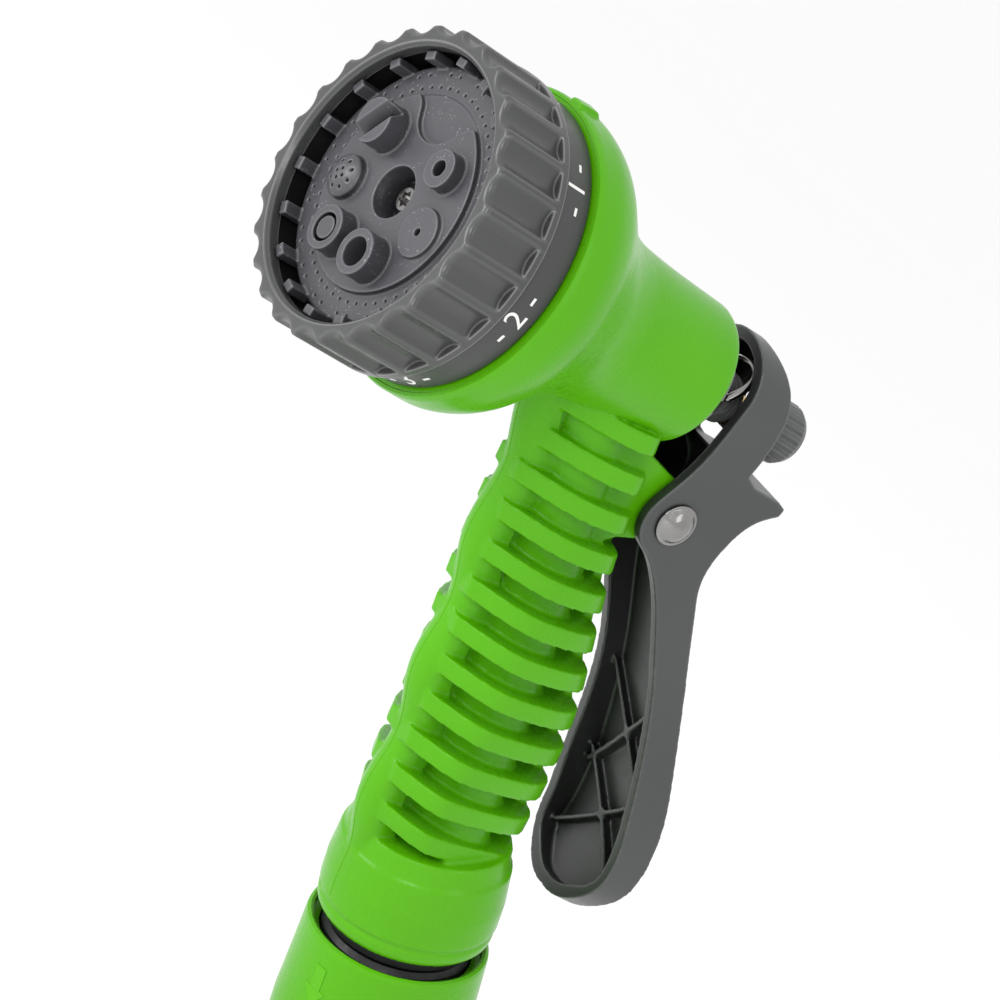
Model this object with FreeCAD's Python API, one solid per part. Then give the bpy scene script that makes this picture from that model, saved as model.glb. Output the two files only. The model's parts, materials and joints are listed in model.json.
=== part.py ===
import FreeCAD, Part
import math
import os

V = FreeCAD.Vector
PI = math.pi

# ---------------------------------------------------------------- driving dimensions, millimetres
# Working frame: the spray axis is Y (water leaves towards -Y), +Z is up, X is across.
# y = 0 is one millimetre behind the front rim of the dial. Every solid is moved at the end so that the
# origin is the centre of the hose nut's mouth.

RIM_R = 26.4            # inner rim of the dial
RIM_Y = -1.0
RIDGE_R = 30.4          # dial over its ridges
FLUTE_R = 29.0          # bottom of the flutes
FLUTES = 26
FLANGE_Y = 14.6         # flutes end at this flange
BAND_R = 29.0           # plain label band
BAND_BACK = 22.6
PATTERNS = 7            # spray patterns round the face
PATTERN_AT = 45.0       # degrees from the top to the first pattern
PATTERN_R = 13.2

BARREL_R = 14.4
BARREL_BACK = 83.2

RAKE = math.radians(24.8)   # handle leans back from the vertical
HANDLE_Y = 60.7             # handle axis meets the spray axis here
FIN_TILT = 0.12             # rise per unit of y of the fins' planes
FIN_PITCH = 8.28
FIN_THICK = 4.0
FINS = 12
FIN_TOP_Z = -11.8           # top of the first fin at y = 70
TAIL_R = 18.3
TAIL_END = 134.0            # distance along the handle axis

PIVOT_Y, PIVOT_Z = 96.7, -23.4
PIN_R = 2.0
LEVER_HALF = 11.0
WALL = 2.5
RIB_RISE = 2.6
ARCH_Z = 2.7                # centre height of the lever's top arch
STEM_R = 2.5

COLLAR_TOP = 137.0
NUT_END = 196.0             # mouth of the hose nut
HOSE_R = 6.5                # bore for the hose
HOSE_BORE = 9.0

E_S = V(0, math.sin(RAKE), -math.cos(RAKE))
E_T = V(0, math.cos(RAKE), math.sin(RAKE))
HANDLE_0 = V(0, HANDLE_Y, 0)
MOUTH = HANDLE_0 + E_S * NUT_END


# ---------------------------------------------------------------- helpers
def on_handle(s, t=0.0, x=0.0):
    """Point at distance s down the handle, t behind its axis, x across."""
    return HANDLE_0 + E_S * s + E_T * t + V(x, 0, 0)


def wire(points):
    return Part.makePolygon(list(points) + [points[0]])


def face(points):
    return Part.Face(wire(points))


def turn(face_, centre, axis):
    return face_.revolve(centre, axis, 360)


def turned_y(profile):
    """Solid of revolution about the spray axis from (radius, y) corners."""
    return turn(face([V(r, y, 0) for r, y in profile]), V(0, 0, 0), V(0, 1, 0))


def turned_h(profile):
    """Solid of revolution about the handle axis from (radius, s) corners."""
    return turn(face([on_handle(s, r) for r, s in profile]), HANDLE_0, E_S)


def cyl_y(r, y0, y1, x=0.0, z=0.0):
    return Part.makeCylinder(r, y1 - y0, V(x, y0, z), V(0, 1, 0))


def cyl_h(r, s0, s1, t=0.0):
    return Part.makeCylinder(r, s1 - s0, on_handle(s0, t), E_S)


def cyl_x(r, x0, x1, y, z):
    return Part.makeCylinder(r, x1 - x0, V(x0, y, z), V(1, 0, 0))


def ring_y(ro, ri, y0, y1):
    return turned_y([(ri, y0), (ro, y0), (ro, y1), (ri, y1)])


def ring_h(ro, ri, s0, s1):
    return turned_h([(ri, s0), (ro, s0), (ro, s1), (ri, s1)])


def box(x0, x1, y0, y1, z0, z1):
    return Part.makeBox(x1 - x0, y1 - y0, z1 - z0, V(x0, y0, z0))


def slab_x(points, x0, x1):
    """Plate across X from (y, z) corners."""
    return face([V(x0, y, z) for y, z in points]).extrude(V(x1 - x0, 0, 0))


def polar(r, degrees, y):
    """Point on a circle round the spray axis, measured from the top towards +X."""
    a = math.radians(degrees)
    return V(r * math.sin(a), y, r * math.cos(a))


def about_y(shape, degrees):
    """Turn from the top towards +X."""
    other = shape.copy()
    other.rotate(V(0, 0, 0), V(0, 1, 0), degrees)
    return other


def about_h(shape, degrees):
    other = shape.copy()
    other.rotate(HANDLE_0, E_S, degrees)
    return other


def fuse(shapes):
    first = shapes[0]
    out = first.multiFuse(shapes[1:]) if len(shapes) > 1 else first
    return out.removeSplitter()


def torus_y(big, small, y):
    return Part.makeTorus(big, small, V(0, y, 0), V(0, 1, 0))


def torus_h(big, small, s):
    return Part.makeTorus(big, small, on_handle(s), E_S)


def coil(radius, wire_r, start, direction, length, turns):
    """Compression spring of sixteen-sided wire along a direction from a start point."""
    helix = Part.makeHelix(length / turns, length, radius)
    corners = []
    for i in range(16):
        a = PI * i / 8
        corners.append(V(radius + wire_r * math.cos(a), 0, wire_r * math.sin(a)))
    spring = Part.Wire(helix).makePipeShell([wire(corners)], True, True)
    spin = FreeCAD.Rotation(V(0, 0, 1), direction)
    spring.Placement = FreeCAD.Placement(start, spin)
    return spring


# ---------------------------------------------------------------- housing moulding
BELL = [(30.6, 25.4), (30.35, 30.0), (28.35, 35.0), (24.7, 40.0), (20.9, 45.0), (18.0, 50.0),
        (16.2, 55.4), (15.5, 60.5), (14.9, 69.0), (BARREL_R, 81.8)]
BELL_IN = [(27.6, 25.4), (27.3, 30.0), (25.3, 34.6), (21.6, 39.4), (17.8, 44.2), (14.6, 48.6), (12.4, 52.5)]


def bell_and_barrel():
    outer = Part.BSplineCurve()
    outer.interpolate([V(r, y, 0) for r, y in BELL])
    front = Part.makePolygon([V(0, 23.0, 0), V(29.7, 23.0, 0), V(30.6, 23.8, 0), V(30.6, 25.4, 0)])
    lip = Part.Arc(V(BARREL_R, 81.8, 0), V(BARREL_R - 0.45, 82.8, 0), V(BARREL_R - 1.4, BARREL_BACK, 0))
    back = Part.makePolygon([V(BARREL_R - 1.4, BARREL_BACK, 0), V(0, BARREL_BACK, 0), V(0, 23.0, 0)])
    outline = Part.Wire(front.Edges + [outer.toShape(), lip.toShape()] + back.Edges)
    return turn(Part.Face(outline), V(0, 0, 0), V(0, 1, 0))


def water_ways():
    """Everything hollow inside the housing."""
    inner = Part.BSplineCurve()
    inner.interpolate([V(r, y, 0) for r, y in BELL_IN])
    rim = Part.makePolygon([V(0, 22.0, 0), V(27.6, 22.0, 0), V(27.6, 25.4, 0)])
    end = Part.makePolygon([V(12.4, 52.5, 0), V(0, 52.5, 0), V(0, 22.0, 0)])
    bell = turn(Part.Face(Part.Wire(rim.Edges + [inner.toShape()] + end.Edges)), V(0, 0, 0), V(0, 1, 0))
    seat = cyl_y(4.0, 52.0, 57.0)
    chamber = cyl_y(10.4, 56.0, 74.0)
    gland = cyl_y(11.0, 74.0, BARREL_BACK + 1)
    riser = cyl_h(5.6, 2.0, 118.0, 2.0)
    socket = cyl_h(12.0, 114.0, TAIL_END + 1)
    flare = ring_h(15.8, 12.9, 122.0, TAIL_END + 1)
    return [bell, seat, chamber, gland, riser, socket, flare]


def spine_front(s):
    """Front of the spine: it deepens down the handle and waves between the fingers."""
    return -(11.6 + 0.072 * (s - 20.0)) - 1.15 * math.cos(2 * PI * (s - 45.0) / 29.5)


def spine():
    half = 4.6
    sections = []
    for i in range(20):
        s = 4.0 + i * 6.2
        f = spine_front(max(s, 14.0)) - (0.0 if s > 14.0 else 0.35 * (14.0 - s))
        c = f + half
        nose = Part.Arc(on_handle(s, c, -half), on_handle(s, f, 0), on_handle(s, c, half))
        rest = Part.makePolygon([on_handle(s, c, half), on_handle(s, f + 7.2, half),
                                 on_handle(s, f + 7.2, -half), on_handle(s, c, -half)])
        sections.append(Part.Wire([nose.toShape()] + rest.Edges))
    return Part.makeLoft(sections, True, False)


def spine_core():
    """Longitudinal web that joins the spine, the water tube and the rear strip."""
    corners = [on_handle(6, -8, -3.4), on_handle(118, -14, -3.4), on_handle(118, 0, -3.4), on_handle(6, 4, -3.4)]
    web = face(corners).extrude(V(6.8, 0, 0))
    thin = face([on_handle(8, 4, -1.1), on_handle(114, 4, -1.1), on_handle(114, 15.5, -1.1),
                 on_handle(80, 18.2, -1.1), on_handle(50, 15.4, -1.1), on_handle(8, 14.0, -1.1)])
    return web, thin.extrude(V(2.2, 0, 0))


def rear_strip():
    outer = [(8, 15.4), (26, 15.0), (50, 16.2), (66, 18.2), (80, 19.2), (94, 18.6), (116, 16.0)]
    inner = [(s, t - 2.3) for s, t in reversed(outer)]
    return face([on_handle(s, t, -3.4) for s, t in outer + inner]).extrude(V(6.8, 0, 0))


# Fin outline at stations down the handle: s, front rim u, rim half width, u of the full
# width, full half width, rear end u (u runs backwards in the fin's own plane).
FIN_FORM = [(2.0, -10.6, 3.6, 9.0, 12.4, 15.4), (24.0, -10.4, 3.6, 8.5, 12.4, 15.6),
            (48.0, -13.0, 4.4, 1.5, 13.6, 16.9), (75.0, -14.6, 4.4, -1.5, 14.1, 20.3),
            (88.0, -15.6, 4.4, -4.0, 13.9, 20.0), (101.0, -16.9, 4.4, -7.5, 13.5, 18.4),
            (116.0, -16.4, 4.4, -8.0, 13.8, 16.6)]
U_DIR = V(0, 1, FIN_TILT).normalize()


def fin_section(s, u_rim, x_rim, u_wide, x_full, u_rear):
    centre = on_handle(s)
    side = []
    for i in range(9):
        q = i / 8.0
        u = u_rim + (u_wide - u_rim) * q
        side.append((x_rim + (x_full - x_rim) * math.sin(0.5 * PI * q), u))
    for i in range(1, 8):
        a = 0.5 * PI * i / 8.0
        x = x_full * math.cos(a) ** (2 / 2.9)
        side.append((x, u_wide + (u_rear - u_wide) * math.sin(a) ** (2 / 2.9)))
    loop = side + [(0.0, u_rear)] + [(-x, u) for x, u in reversed(side)]
    curve = Part.BSplineCurve()
    curve.interpolate([centre + U_DIR * u + V(x, 0, 0) for x, u in loop])
    first = loop[0]
    front = Part.makeLine(centre + U_DIR * first[1] + V(-first[0], 0, 0),
                          centre + U_DIR * first[1] + V(first[0], 0, 0))
    return Part.Wire([curve.toShape(), front])


def fins():
    envelope = Part.makeLoft([fin_section(*row) for row in FIN_FORM], True, False)
    out = []
    for j in range(FINS):
        top = FIN_TOP_Z - FIN_PITCH * j
        corners = [(y, z + FIN_TILT * (y - 70.0)) for y, z in
                   [(30, top), (150, top), (150, top - FIN_THICK), (30, top - FIN_THICK)]]
        out.append(envelope.common(slab_x(corners, -25, 25)))
    return out


def water_tube():
    top, low = on_handle(0, 4.4), on_handle(119, 0.4)
    line = low - top
    return Part.makeCone(7.4, 9.6, line.Length, top, line)


def tail():
    return turned_h([(0, 112), (16.0, 112), (16.9, 116.2), (17.5, 116.7), (TAIL_R, 124.0), (TAIL_R, 129.6),
                     (TAIL_R - 0.6, 130.2), (TAIL_R - 0.6, 130.6), (TAIL_R - 0.2, 131.0), (TAIL_R - 0.4, 132.8),
                     (TAIL_R - 1.2, TAIL_END), (0, TAIL_END)])


def lug():
    web = slab_x([(72, -12), (86, -15.4), (96.7, -17.6), (97.4, -29.1), (90, -32.0), (84, -38), (78, -38)], -7.9, 7.9)
    return fuse([web, cyl_x(5.8, -7.9, 7.9, PIVOT_Y, PIVOT_Z)])


def pointer():
    """Raised mark on the top of the bell that the dial is read against."""
    return slab_x([(23.0, 29.0), (23.2, 31.4), (27.6, 31.7), (29.2, 30.0), (29.2, 29.0)], -1.7, 1.7)


def housing():
    web, thin = spine_core()
    solids = [bell_and_barrel(), spine(), web, thin, rear_strip(), water_tube(), tail(), lug(), pointer()]
    outer = fuse(solids + fins())
    out = outer.cut(Part.makeCompound(water_ways()))
    flange_room = cyl_y(12.0, BARREL_BACK, 86.2)
    pin_hole = cyl_x(PIN_R + 0.03, -12, 12, PIVOT_Y, PIVOT_Z)
    return out.cut(fuse([flange_room, pin_hole]))


# ---------------------------------------------------------------- dial and face
def dial_ring():
    profile = [(RIM_R, RIM_Y + 1.2), (RIM_R + 0.5, RIM_Y + 0.2), (RIM_R + 1.2, RIM_Y), (RIDGE_R - 1.2, RIM_Y),
               (RIDGE_R - 0.2, RIM_Y + 0.9), (RIDGE_R, RIM_Y + 2.0), (RIDGE_R, FLANGE_Y - 0.9),
               (RIDGE_R - 0.2, FLANGE_Y), (BAND_R, FLANGE_Y + 0.5), (BAND_R, BAND_BACK), (26.6, BAND_BACK),
               (26.6, 16.6), (27.2, 16.0), (27.2, 2.8), (RIM_R, 2.0)]
    ring = turned_y(profile)
    cutters = []
    for i in range(FLUTES):
        a = 360.0 * (i + 0.5) / FLUTES
        start = polar(RIDGE_R + 2.6, a, RIM_Y - 1.0)
        cut = Part.makeCylinder(4.1, FLANGE_Y - 1.3 - start.y, start, V(0, 1, 0))
        cutters.append(cut)
    return ring.cut(Part.makeCompound(cutters))


def spot(k, radius=PATTERN_R):
    """Centre of pattern number k on the face."""
    return polar(radius, PATTERN_AT + 360.0 * k / PATTERNS, 0)


# Towers on the face, in order round it: front y, outer radius, bore radius, end of the bore.
THROUGH = 9.0
TOWERS = [(0.6, 3.3, 1.5, THROUGH), (2.4, 4.4, 0.7, THROUGH), (-1.0, 3.9, 2.8, THROUGH),
          (-0.6, 3.9, 2.8, 6.2), (2.2, 4.2, 0.0, 0.0), (-1.4, 4.4, 0.0, 0.0)]
POST, SHOWER, SLOTTED, EMPTY = 3, 4, 5, 6      # towers of their own kind, and the place with none
SLOT_TURN = -65.0
INNER_HOLES, OUTER_HOLES = 20.8, 23.3          # radii of the two rings of fine holes


def recess():
    """Bay in the plateau's edge at the place with no tower; both ends flare out along the edge."""
    shore = [(-14.2, 16.4), (-11.9, 15.5), (-10.0, 14.9), (-8.7, 13.9), (-7.9, 12.8), (-6.9, 11.7), (-5.3, 10.7),
             (-3.1, 10.2), (-0.7, 10.5), (1.4, 11.5), (2.8, 12.9), (3.8, 14.6), (4.6, 16.1), (5.8, 17.2),
             (7.6, 17.9), (10.4, 18.4)]
    curve = Part.BSplineCurve()
    curve.interpolate([V(x, 3.0, z) for x, z in shore])
    sea = Part.makePolygon([V(10.4, 3.0, 18.4), V(0, 3.0, 24.0), V(-14.2, 3.0, 16.4)])
    return Part.Face(Part.Wire([curve.toShape()] + sea.Edges)).extrude(V(0, 1.4, 0))


def face_plate():
    plate = turned_y([(0, 4.4), (24.6, 4.7), (25.2, 5.3), (25.2, 7.4), (24.8, 8.0), (24.8, 16.4), (23.8, 16.4),
                      (23.8, 7.4), (0, 7.4)])
    plateau = cyl_y(19.1, 3.4, 5.0).cut(recess())
    hub = cyl_y(7.6, 5.0, 12.4)
    solids = [plate, plateau, hub]
    for k, (front, outer, bore, end) in enumerate(TOWERS):
        solids.append(cyl_y(outer, front, 5.5, spot(k).x, spot(k).z))
    for i in range(18):
        tab = box(-1.25, 1.25, 1.0, 6.0, 24.4, 26.15)
        solids.append(about_y(tab, 10.0 + 20.0 * i))
    cuts = [cyl_y(5.0, 0, 9.0), cyl_y(2.3, 0, 20)]
    for k, (front, outer, bore, end) in enumerate(TOWERS):
        if bore > 0:
            cuts.append(cyl_y(bore, front - 1, end, spot(k).x, spot(k).z))
    groove = slab_x([(-3.0, -2.9), (2.0, 0.0), (-3.0, 2.9)], -6.0, 6.0)
    slit = fuse([groove, box(-3.0, 3.0, -3.0, 9.0, -0.6, 0.6)])
    slit.rotate(V(0, 0, 0), V(0, 1, 0), SLOT_TURN)
    slit.translate(spot(SLOTTED))
    cuts.append(slit)
    for r, count in ((1.0, 4), (2.6, 8)):
        for i in range(count):
            a = 2 * PI * i / count
            hole_x, hole_z = spot(SHOWER).x + r * math.cos(a), spot(SHOWER).z + r * math.sin(a)
            cuts.append(cyl_y(0.35, 0, THROUGH, hole_x, hole_z))
    for i in range(54):
        at = polar(INNER_HOLES, 360.0 * i / 54, 0)
        cuts.append(cyl_y(0.3, 3.0, THROUGH, at.x, at.z))
        if i % 3:
            at = polar(OUTER_HOLES, 10.0 + 360.0 * i / 54, 0)
            cuts.append(cyl_y(0.3, 3.0, THROUGH, at.x, at.z))
    post = cyl_y(1.9, -0.4, 6.8, spot(POST).x, spot(POST).z)
    return fuse(solids).cut(Part.makeCompound(cuts)).fuse(post).removeSplitter()


def port_plate():
    """Back of the dial: one port for each pattern runs under the seal."""
    disc = ring_y(26.2, 4.6, 16.6, 19.2)
    hub = ring_y(7.6, 4.6, 12.7, 16.8)
    ports = [cyl_y(2.6, 16.0, 20.0, spot(k).x, spot(k).z) for k in range(PATTERNS)]
    track = torus_y(20.6, 1.95, 20.0)
    return fuse([disc, hub]).cut(Part.makeCompound(ports + [track]))


# ---------------------------------------------------------------- fixed parts behind the dial
DETENT = polar(20.6, 180.0, 0)


def distributor():
    disc = turned_y([(0, 19.6), (25.9, 19.6), (25.9, 23.15), (27.4, 23.15), (27.4, 25.4), (0, 25.4)])
    spindle = cyl_y(4.3, 12.6, 20.0)
    pocket = cyl_y(6.6, 25.0, 31.5, spot(EMPTY).x, spot(EMPTY).z)
    well = cyl_y(3.4, 25.0, 29.5, DETENT.x, DETENT.z)
    boss = cyl_y(3.6, 25.0, 31.0)
    cuts = [cyl_y(5.2, 19.0, 30.0, spot(EMPTY).x, spot(EMPTY).z), cyl_y(2.4, 29.0, 32.0, spot(EMPTY).x, spot(EMPTY).z),
            cyl_y(1.75, 19.0, 28.0, DETENT.x, DETENT.z), cyl_y(1.55, 12.0, 28.0)]
    return fuse([disc, spindle, pocket, well, boss]).cut(Part.makeCompound(cuts))


def port_seal():
    at = spot(EMPTY)
    cup = fuse([ring_y(5.0, 2.6, 19.3, 22.0), ring_y(4.0, 2.6, 22.0, 24.0)])
    cup.translate(V(at.x, 0, at.z))
    return cup


def port_spring():
    at = spot(EMPTY)
    return coil(4.4, 0.4, V(at.x, 24.4, at.z), V(0, 1, 0), 4.0, 3.0)


def detent_ball():
    return Part.makeSphere(1.6, V(DETENT.x, 20.0, DETENT.z))


def detent_spring():
    return coil(1.2, 0.25, V(DETENT.x, 21.9, DETENT.z), V(0, 1, 0), 5.6, 6.0)


def face_screw():
    """Pan head screw with a six-pointed driver recess."""
    head = turned_y([(0, 6.4), (2.2, 6.4), (3.3, 7.0), (3.6, 7.9), (3.6, 8.55), (0, 8.55)])
    points = []
    for i in range(12):
        r = 1.75 if i % 2 == 0 else 1.15
        points.append(polar(r, 30.0 * i, 6.0))
    recess = face(points).extrude(V(0, 1.6, 0))
    shank = cyl_y(1.5, 8.0, 27.0)
    return head.fuse(shank).cut(recess)


def face_washer():
    return ring_y(4.4, 1.7, 8.6, 8.95)


# ---------------------------------------------------------------- valve in the barrel
def valve_stem():
    rod = cyl_y(STEM_R, 54.2, 114.0)
    nose = turned_y([(0, 53.2), (2.6, 53.2), (3.2, 54.2), (3.2, 55.9), (0, 55.9)])
    flange = cyl_y(6.6, 58.65, 60.2)
    relief = ring_y(4, 2.2, 106.2, 114.2)
    return fuse([rod, nose, flange]).cut(relief)


def valve_seal():
    return ring_y(7.2, STEM_R + 0.02, 56.1, 58.6)


def return_spring():
    return coil(5.3, 0.55, V(0, 60.9, 0), V(0, 1, 0), 12.2, 6.0)


def gland_nut():
    plug = ring_y(10.75, 2.56, 74.2, 83.4)
    flange = cyl_y(11.6, 83.3, 85.6)
    for i in range(8):
        flange = flange.cut(about_y(box(-1.4, 1.4, 82, 87, 10.7, 13), 45.0 * i))
    neck = cyl_y(4.9, 85.0, 96.4)
    threads = [ring_y(5.2, 4.6, 86.4 + 1.25 * i, 87.0 + 1.25 * i) for i in range(3)]
    threads += [ring_y(5.2, 4.6, 92.6 + 1.25 * i, 93.2 + 1.25 * i) for i in range(3)]
    solid = fuse([plug, flange, neck] + threads)
    cuts = [cyl_y(2.56, 70, 100), ring_y(12, 8.95, 77.0, 79.2), ring_y(4.5, 2.0, 79.8, 82.0),
            cyl_x(0.86, -8, 8, CLIP_Y, CLIP_Z)]
    return solid.cut(Part.makeCompound(cuts))


def gland_seal():
    return torus_y(9.97, 0.95, 78.1)


def stem_seal():
    return torus_y(3.5, 0.92, 80.9)


# ---------------------------------------------------------------- lever and what it carries
CLIP_Y, CLIP_Z = 91.0, 1.6

LEVER_FRONT = [(90.3, 14.6), (91.6, 10.5), (92.3, 5.0), (92.6, -2.2), (92.3, -11.6), (90.6, -18.6), (89.5, -24.4),
               (91.8, -29.2), (96.2, -31.4), (101.6, -34.8), (107.5, -40.0), (113.6, -46.5), (120.2, -54.2),
               (126.4, -63.2), (131.4, -72.0), (136.0, -81.0), (140.0, -90.0), (141.2, -96.5), (141.3, -104.0)]
LEVER_BACK = [(146.0, -104.0), (147.9, -97.0), (148.3, -91.0), (146.6, -83.0), (143.0, -74.6), (138.9, -67.8),
              (132.6, -58.4), (125.8, -49.0), (120.3, -42.0), (115.8, -36.2), (113.0, -32.4), (111.4, -28.4),
              (111.1, -23.4), (112.2, -17.6), (114.6, -14.0)]
SPUR = [(114.6, -14.0), (117.1, -11.9), (117.0, -10.2), (114.6, -9.5), (107.4, -9.6), (104.2, -8.4)]
ARCH_BACK = [(104.2, -8.4), (104.3, -5.8), (104.1, -2.0), (103.4, 2.0), (102.2, 6.0), (100.3, 9.8), (97.2, 12.6),
             (92.5, 14.6)]
CHANNEL = [(141.5, -112.0), (145.0, -97.0), (145.7, -91.0), (144.2, -84.0), (140.9, -76.2), (136.7, -69.2),
           (130.5, -59.9), (123.8, -50.6), (118.3, -43.6), (113.6, -37.6), (110.6, -33.2), (108.9, -28.6),
           (108.6, -23.4), (108.2, -18.0), (106.0, -13.6), (102.0, -10.2), (101.8, -4.0), (101.1, 2.0),
           (99.8, 6.0), (97.6, 9.4), (93.0, 11.2)]


def side(points):
    curve = Part.BSplineCurve()
    curve.interpolate([V(0, y, z) for y, z in points])
    return curve.toShape()


def line(a, b):
    return Part.makeLine(V(0, a[0], a[1]), V(0, b[0], b[1]))


def across(edges, half):
    plate = Part.Face(Part.Wire(edges))
    plate.translate(V(-half, 0, 0))
    return plate.extrude(V(2 * half, 0, 0))


def front_view(inset):
    """The lever seen from the front: arch at the top, paddle at the bottom."""
    half = LEVER_HALF - inset
    arch = Part.Arc(V(-half, 60, ARCH_Z), V(0, 60, ARCH_Z + half), V(half, 60, ARCH_Z)).toShape()
    flank = [(half, -46.0), (half + 0.5, -56.0), (half + 1.8, -68.0), (half + 3.2, -80.0), (half + 3.4, -88.0),
             (half + 2.4, -94.5), (half - 1.4, -99.6 + inset * 0.6), (half * 0.5, -102.4 + inset),
             (0, -103.2 + inset)]
    right = Part.BSplineCurve()
    right.interpolate([V(x, 60, z) for x, z in flank])
    left = Part.BSplineCurve()
    left.interpolate([V(-x, 60, z) for x, z in flank])
    straight_r = Part.makeLine(V(half, 60, ARCH_Z), V(half, 60, -46.0))
    straight_l = Part.makeLine(V(-half, 60, ARCH_Z), V(-half, 60, -46.0))
    outline = Part.Wire([arch, straight_r, right.toShape(), left.toShape(), straight_l])
    return Part.Face(outline).extrude(V(0, 110, 0))


def lever_ribs():
    """Crossed ribs with a small round boss at each crossing, on the channel's floor."""
    floor = CHANNEL[1:12]
    ribs = []
    layer = across([side(floor), line(floor[-1], (floor[-1][0] - RIB_RISE, floor[-1][1])),
                    side([(y - RIB_RISE, z) for y, z in reversed(floor)]),
                    line((floor[0][0] - RIB_RISE, floor[0][1]), floor[0])], 13.0)
    for z_mid, reach in ((-67.0, 12.0), (-84.5, 9.0)):
        for way in (-1, 1):
            plate = box(-16, 16, 60, 160, -0.45, 0.45)
            plate.rotate(V(0, 0, 0), V(0, 1, 0), way * math.degrees(math.atan2(reach, 11.0)))
            plate.translate(V(0, 0, z_mid))
            ribs.append(plate.common(box(-16, 16, 60, 160, z_mid - reach, z_mid + reach)))
        ribs.append(cyl_y(1.2, 60, 160, 0, z_mid))
    inner = front_view(WALL - 0.4)
    return [rib.common(layer).common(inner) for rib in ribs]


def lever():
    outline = [side(LEVER_FRONT), line(LEVER_FRONT[-1], LEVER_BACK[0]), side(LEVER_BACK)]
    outline += [line(a, b) for a, b in zip(SPUR, SPUR[1:])]
    outline += [side(ARCH_BACK), line(ARCH_BACK[-1], LEVER_FRONT[0])]
    outer = across(outline, 18.0).common(front_view(0.0))
    hollow = [side(CHANNEL), line(CHANNEL[-1], (60, 11.2)), line((60, 11.2), (60, -112)), line((60, -112), CHANNEL[0])]
    inner = across(hollow, 18.0).common(front_view(WALL))
    stem_slot = box(-2.95, 2.95, 95, 108, -2.0, 3.4)
    ends = [cyl_y(2.95, 95, 108, 0, -2.0), cyl_y(2.95, 95, 108, 0, 3.4)]
    gap = box(-8.5, 8.5, 97, 125, -9.2, -5.2)
    shell = outer.cut(fuse([inner, stem_slot] + ends)).cut(gap)
    shell = shell.cut(cyl_x(PIN_R + 0.06, -14, 14, PIVOT_Y, PIVOT_Z))
    return fuse([shell] + lever_ribs())


def pivot_rivet():
    shank = cyl_x(PIN_R, -12.6, 11.6, PIVOT_Y, PIVOT_Z)
    head = face([V(11.1, PIVOT_Y, PIVOT_Z), V(11.1, PIVOT_Y, PIVOT_Z + 4.1), V(11.5, PIVOT_Y, PIVOT_Z + 4.2),
                 V(11.8, PIVOT_Y, PIVOT_Z + 3.7), V(12.5, PIVOT_Y, PIVOT_Z + 2.9), V(12.95, PIVOT_Y, PIVOT_Z + 1.6),
                 V(13.1, PIVOT_Y, PIVOT_Z)])
    tail_end = face([V(-11.95, PIVOT_Y, PIVOT_Z), V(-11.95, PIVOT_Y, PIVOT_Z + 3.0), V(-12.7, PIVOT_Y, PIVOT_Z + 2.6),
                     V(-13.2, PIVOT_Y, PIVOT_Z)])
    centre = V(0, PIVOT_Y, PIVOT_Z)
    return fuse([shank, turn(head, centre, V(1, 0, 0)), turn(tail_end, centre, V(1, 0, 0))])


def rivet_washer():
    disc = cyl_x(4.0, -11.9, -11.1, PIVOT_Y, PIVOT_Z)
    return disc.cut(cyl_x(PIN_R + 0.02, -12, -11, PIVOT_Y, PIVOT_Z))


def flow_knob():
    body = turned_y([(0, 106.5), (5.8, 106.5), (6.3, 107.0), (6.3, 113.4), (5.6, 114.8), (3.6, 115.6), (0, 115.8)])
    collar = cyl_y(4.0, 105.4, 107.0)
    flutes = []
    for i in range(20):
        at = polar(6.65, 18.0 * i, 0)
        flutes.append(cyl_y(0.55, 107.5, 118.0, at.x, at.z))
    knob = fuse([body, collar]).cut(Part.makeCompound(flutes))
    return knob.cut(fuse([cyl_y(STEM_R + 0.04, 100, 106.22), cyl_y(2.24, 104, 114.2)]))


def lock_clip():
    """Bent wire bail: two legs and a round closed end, hinged in the gland's neck."""
    lean = math.radians(36.0)
    half, start, wire_r = 6.4, 2.2, 0.8

    def at(x, w):
        return V(x, CLIP_Y + w * math.sin(lean), CLIP_Z + w * math.cos(lean))

    path = Part.Wire([Part.makeLine(at(half, 0), at(half, start)),
                      Part.Arc(at(half, start), at(0, start + half), at(-half, start)).toShape(),
                      Part.makeLine(at(-half, start), at(-half, 0))])
    section = Part.Wire(Part.makeCircle(wire_r, at(half, 0), V(0, math.sin(lean), math.cos(lean))))
    bail = path.makePipeShell([section], True, True)
    ends = []
    for way in (-1, 1):
        ends.append(Part.makeSphere(wire_r, at(way * half, 0)))
        inner = 3.4 if way > 0 else -half
        ends.append(cyl_x(wire_r, inner, inner + half - 3.4, CLIP_Y, CLIP_Z))
    return fuse([bail] + ends)


# ---------------------------------------------------------------- hose coupling below the handle
def inlet_adapter():
    profile = [(5.0, 116.6), (11.7, 116.6), (11.7, 134.3), (15.2, 134.3),
               (15.2, 136.5), (14.4, 136.9), (8.1, 136.9), (8.1, 140.8), (6.9, 141.4), (6.9, 144.6), (8.1, 145.2),
               (8.1, 150.9), (6.2, 150.9), (6.2, 153.1), (8.1, 153.1), (8.1, 156.4), (7.2, 158.0), (5.0, 158.0)]
    return turned_h(profile)


def inlet_washer():
    return ring_h(11.8, 6.4, 114.1, 116.5)


def inlet_seal():
    return torus_h(7.24, 1.0, 152.0)


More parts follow.
